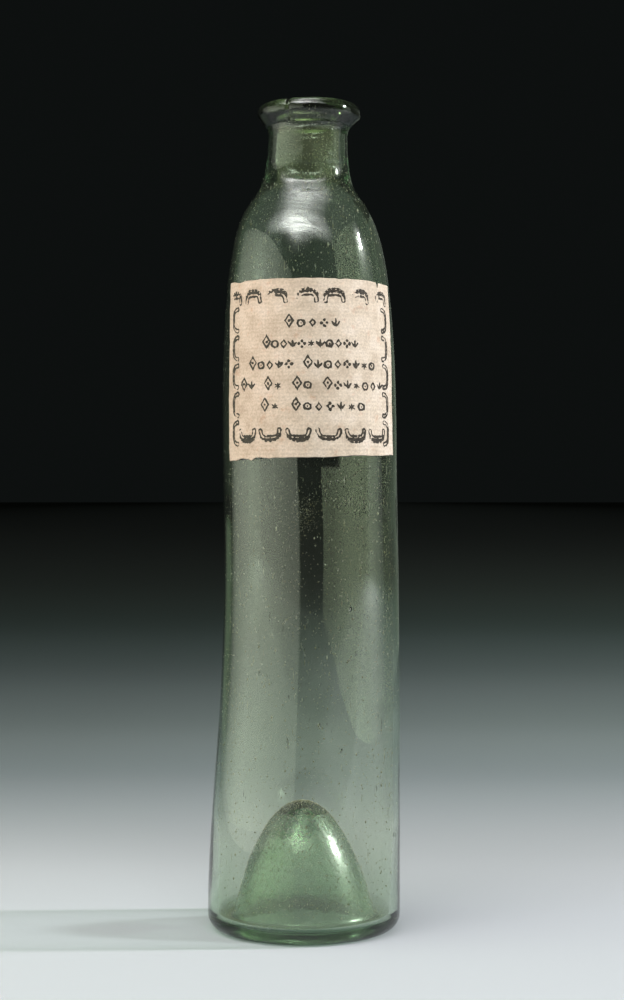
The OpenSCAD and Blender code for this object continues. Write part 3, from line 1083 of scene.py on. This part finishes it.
def floor_level(n, x, y):
    """The floor's brightness, mostly painted light and shade: one pattern where it is seen directly, and
    another where it is mirrored.
    """

    def gain(place, start, end, low, high):
        return n.span(place, start * MM, end * MM, low, high)

    ahead = n.calc("ADD", y, n.times(x, SLANT))
    cloth = 1.0
    for steps in CLOTH_AND_LIGHT_STEPS:
        cloth = n.times(cloth, gain(ahead, *steps))
    right = n.times(gain(x, *RIGHT_ACROSS), gain(y, *RIGHT_BACK))
    cloth = n.times(cloth, n.calc("ADD", right, 1.0))
    plain = gain(n.calc("ABSOLUTE", x, 0.0), *SIDE_FADE)
    for steps in FRONT_FADES:
        plain = n.times(plain, gain(y, *steps))
    mirrored = n.calc("GREATER_THAN", n.add("LightPath").outputs["Glossy Depth"], 0.5)
    change = n.times(mirrored, n.calc("SUBTRACT", cloth, plain))
    return n.times(n.calc("ADD", change, plain), gain(x, *ACROSS))


def floor_surface(n):
    place = n.split(n.place())
    x, y = place["X"], place["Y"]
    off = n.calc("MAXIMUM", n.calc("SUBTRACT", y, NEAR_EDGE * MM), 0.0)
    share = n.calc("DIVIDE", off, n.calc("ADD", off, HALF * MM))
    stops = [(d / (d + HALF), *rgb) for d, *rgb in FLOOR_LIGHT_POOL_STOPS]
    # The painted light pool's colour, times the painted light and shade that floor_level gives
    colour = n.tint("MULTIPLY", 1.0, n.ramp(share, stops, "CARDINAL"), floor_level(n, x, y))
    return n.principled(colour, 0.9, {"Specular IOR Level": 0.1})


corners = [(a * REACH, b * REACH, -FLOOR_GAP) for a, b in ((-1, -1), (1, -1), (1, 1), (-1, 1))]
ground = make("floor", corners, [(0, 1, 2, 3)], False)
ground.data.materials.append(material("floor", floor_surface))


def lamp(name, place, look_at, size, radiance):
    """A soft rectangular light. Its size is (width, height) and its places are in metres."""
    data = bpy.data.lights.new(name, "AREA")
    data.shape = "RECTANGLE"
    data.size, data.size_y = size
    data.energy = radiance * math.pi * data.size * data.size_y
    ob = bpy.data.objects.new(name, data)
    ob.location = place
    way = Vector(look_at) - Vector(place)
    ob.rotation_euler = way.to_track_quat("-Z", "Y").to_euler()
    ob.visible_camera = False
    bpy.context.collection.objects.link(ob)
    return ob


def card(name, start, end, low, high, radiance, colour):
    """A card that only glass and gloss show: upright, from start to end in plan, facing right of that way."""
    a, b = Vector((*start, 0)), Vector((*end, 0))
    mid = (a + b) / 2 + Vector((0, 0, (low + high) / 2))
    out = (b - a).cross(Vector((0, 0, 1)))
    ob = lamp(name, mid, mid + out, ((b - a).length, high - low), radiance)
    ob.data.color = colour
    ob.visible_diffuse = False
    return ob


# The brightest that a curve can say, and what is left of a lamp seen straight through the glass, not mirrored
GLOW_MAX = 2.5
STRAIGHT = 0.15


def glow_curve(ob, along, across=None, taper=None, folds=None):
    """Let a lamp's brightness change along its width and height, as the given (place, brightness) pairs say.

    taper gives (place up the height, share of the full width) pairs, which narrow the pattern, and folds says
    how many soft folds cross the width and the height, and how deep they are.
    """
    ob.data.use_nodes = True
    n = Nodes(ob.data.node_tree)

    def curve(place, pairs):
        c = n.add("FloatCurve", {"Value": place})
        points = c.mapping.curves[0].points
        for i, (at, glow) in enumerate(pairs):
            spot = (at, glow / GLOW_MAX)
            if i in (0, len(pairs) - 1):
                points[-1 if i else 0].location = spot
            else:
                points.new(*spot)
        c.mapping.update()
        return n.times(c.outputs["Value"], GLOW_MAX)

    across_up = n.split(n.add("NewGeometry").outputs["Parametric"])
    wide, high = across_up["X"], across_up["Y"]
    if taper:
        off = n.calc("DIVIDE", n.calc("SUBTRACT", wide, 0.5), curve(high, taper))
        wide = n.calc("MAXIMUM", n.calc("MINIMUM", n.calc("ADD", off, 0.5), 1.0), 0.0)
    glow = curve(wide, along)
    if across:
        glow = n.times(glow, curve(high, across))
    if folds:
        count, rows, deep = folds
        creased = {"X": n.times(across_up["X"], count), "Y": n.times(high, rows)}
        cloth = n.noise(n.add("CombineXYZ", creased).outputs["Vector"], 1.0, 3)
        glow = n.times(glow, n.span(cloth, 0.3, 0.7, 1 - deep, 1 + deep))
    path = n.add("LightPath").outputs
    through = n.calc("GREATER_THAN", path["Transmission Depth"], 0.5)
    plain = n.calc("LESS_THAN", path["Glossy Depth"], 0.5)
    loss = n.times(n.times(through, plain), 1 - STRAIGHT)
    glow = n.times(glow, n.calc("SUBTRACT", 1.0, loss))
    n.tree.links.new(glow, n.tree.nodes["Emission"].inputs["Strength"])


# A broad soft screen on the left, from behind the bottle (0) to beside the camera (1)
SCREEN_TINT = (0.94, 1.0, 0.82)
SCREEN_GLOW = [
    (0, 0.1), (0.085, 0.6), (0.165, 1.0), (0.28, 1.8), (0.41, 2.1),
    (0.535, 1.8), (0.75, 1.15), (0.82, 1.08), (1, 1.0),
]
SCREEN_HEIGHTS = [(0, 0.6), (0.1, 0.74), (0.32, 1.02), (0.53, 1.0), (0.75, 0.78), (0.9, 0.6), (1, 0.48)]
screen = card("left_screen", (-0.166, -0.577), (-0.347, 0.244), -0.03, 0.32, 1.0, SCREEN_TINT)
glow_curve(screen, SCREEN_GLOW, SCREEN_HEIGHTS)
# Its light on dull surfaces, 2 mm in front of it, because two lamps in one plane hide one another
soft = card("left_light", (-0.164, -0.5766), (-0.345, 0.2444), 0.04, 0.34, 1.0, SCREEN_TINT)
glow_curve(soft, SCREEN_GLOW, [(0, 0.6), (0.15, 0.98), (1, 1.0)])
soft.visible_diffuse = True
soft.visible_glossy = soft.visible_transmission = False
# Dim cards behind on the left, on the right and behind on the right
EVEN = [(0, 1), (1, 1)]
back_card = card("back_card", (-0.36, 0.26), (-0.42, 0.9), -0.02, 0.09, 0.1, (0.75, 1, 0.65))
glow_curve(back_card, EVEN)
right_card = card("right_card", (0.574, 0.175), (0.59, -0.1), -0.02, 0.44, 0.6, (0.88, 1, 0.85))
glow_curve(right_card, EVEN, [(0, 0.5), (0.1, 0.6), (0.24, 0.95), (0.7, 1), (1, 1.2)])
far_right = card("far_right_card", (0.3, 0.95), (0.574, 0.18), -0.02, 0.46, 1.0, (0.85, 1, 0.82))
glow_curve(far_right, [(0, 0.035), (0.4, 0.05), (0.7, 0.07), (0.9, 0.2), (1, 0.3)])
# A soft box above and in front, and the soft sky of cloth that glass shows in its place
top_box = lamp("top_box", (-0.121, -0.452, 0.70), (0, 0, 0.18), (0.8, 0.27), 5.5)
top_box.visible_glossy = top_box.visible_transmission = False
SKY_ACROSS = [
    (0, 0), (0.15, 0.1), (0.28, 0.35), (0.4, 0.85), (0.5, 1.0), (0.58, 0.9), (0.7, 0.5), (0.85, 0.22), (1, 0),
]
SKY_UP = [
    (0, 0), (0.12, 0.05), (0.16, 0.5), (0.19, 1.3), (0.22, 1.9), (0.26, 2.1), (0.3, 1.95), (0.34, 1.6),
    (0.4, 1.05), (0.47, 0.85), (0.55, 0.85), (0.65, 0.8), (0.75, 0.95), (0.85, 0.95), (0.95, 0.8), (1, 0.7),
]
SKY_TAPER = [
    (0, 0.3), (0.16, 0.35), (0.2, 0.5), (0.25, 0.8), (0.3, 1.0),
    (0.35, 1.0), (0.42, 0.8), (0.47, 0.62), (0.55, 0.6), (1, 0.62),
]
sky = lamp("top_cloth", (-0.122, -0.271, 0.845), (0, 0.154, 0.315), (1.6, 1.32), 6.2)
sky.visible_diffuse = False
glow_curve(sky, SKY_ACROSS, SKY_UP, SKY_TAPER, (5, 45, 0.5))
# A small tall lamp on the right, and the bright wall behind it
BELL = [(0, 0), (0.2, 0.25), (0.35, 0.8), (0.5, 1), (0.65, 0.8), (0.8, 0.25), (1, 0)]
lamp("right_lamp", (2.4, 0.12, 1.3), (0, 0, 0.15), (0.12, 0.25), 690)
halo = lamp("right_halo", (2.44, 0.122, 1.319), (0, 0, 0.15), (0.8, 1.0), 4.5)
halo.visible_diffuse = False
glow_curve(halo, BELL, BELL)

# The backdrop that the camera sees, the dim room that glass mirrors, and a plain fill for dull surfaces
BACKDROP, ROOM, FILL = (0.0042, 0.0052, 0.005), (0.022, 0.03, 0.02), (0.12, 0.12, 0.12)
# The room gives way to the backdrop straight behind, over these parts of the way towards it
ROOM_START, ROOM_END = 0.97, 0.8


def studio_world():
    world = bpy.data.worlds.new("studio")
    bpy.context.scene.world = world
    world.use_nodes = True
    world.node_tree.nodes.clear()
    n = Nodes(world.node_tree)
    shades = [n.add("Background", {"Color": c}).outputs["Background"] for c in (BACKDROP, ROOM, FILL)]
    path = n.add("LightPath").outputs
    back = n.split(n.add("TexCoord").outputs["Generated"])["Y"]
    unseen = n.calc("SUBTRACT", 1.0, path["Is Camera Ray"])
    share = n.times(n.span(back, ROOM_START, ROOM_END), unseen)
    surface = n.either(path["Is Diffuse Ray"], n.either(share, *shades[:2]), shades[2])
    n.add("OutputWorld", {"Surface": surface})


studio_world()

cam_data = bpy.data.cameras.new("camera")
cam_data.lens = LENS
cam_data.sensor_width = SENSOR
cam_data.clip_start = 0.01
cam_data.clip_end = 300
cam = bpy.data.objects.new("camera", cam_data)
cam.location = CAM * MM
cam.rotation_euler = (math.radians(90), 0, 0)
bpy.context.collection.objects.link(cam)

scene = bpy.context.scene
scene.camera = cam
scene.view_settings.view_transform = "Standard"
scene.cycles.max_bounces = 36
scene.cycles.transmission_bounces = 36
scene.cycles.glossy_bounces = 8
scene.cycles.transparent_max_bounces = 36
scene.cycles.caustics_reflective = False
scene.cycles.caustics_refractive = False
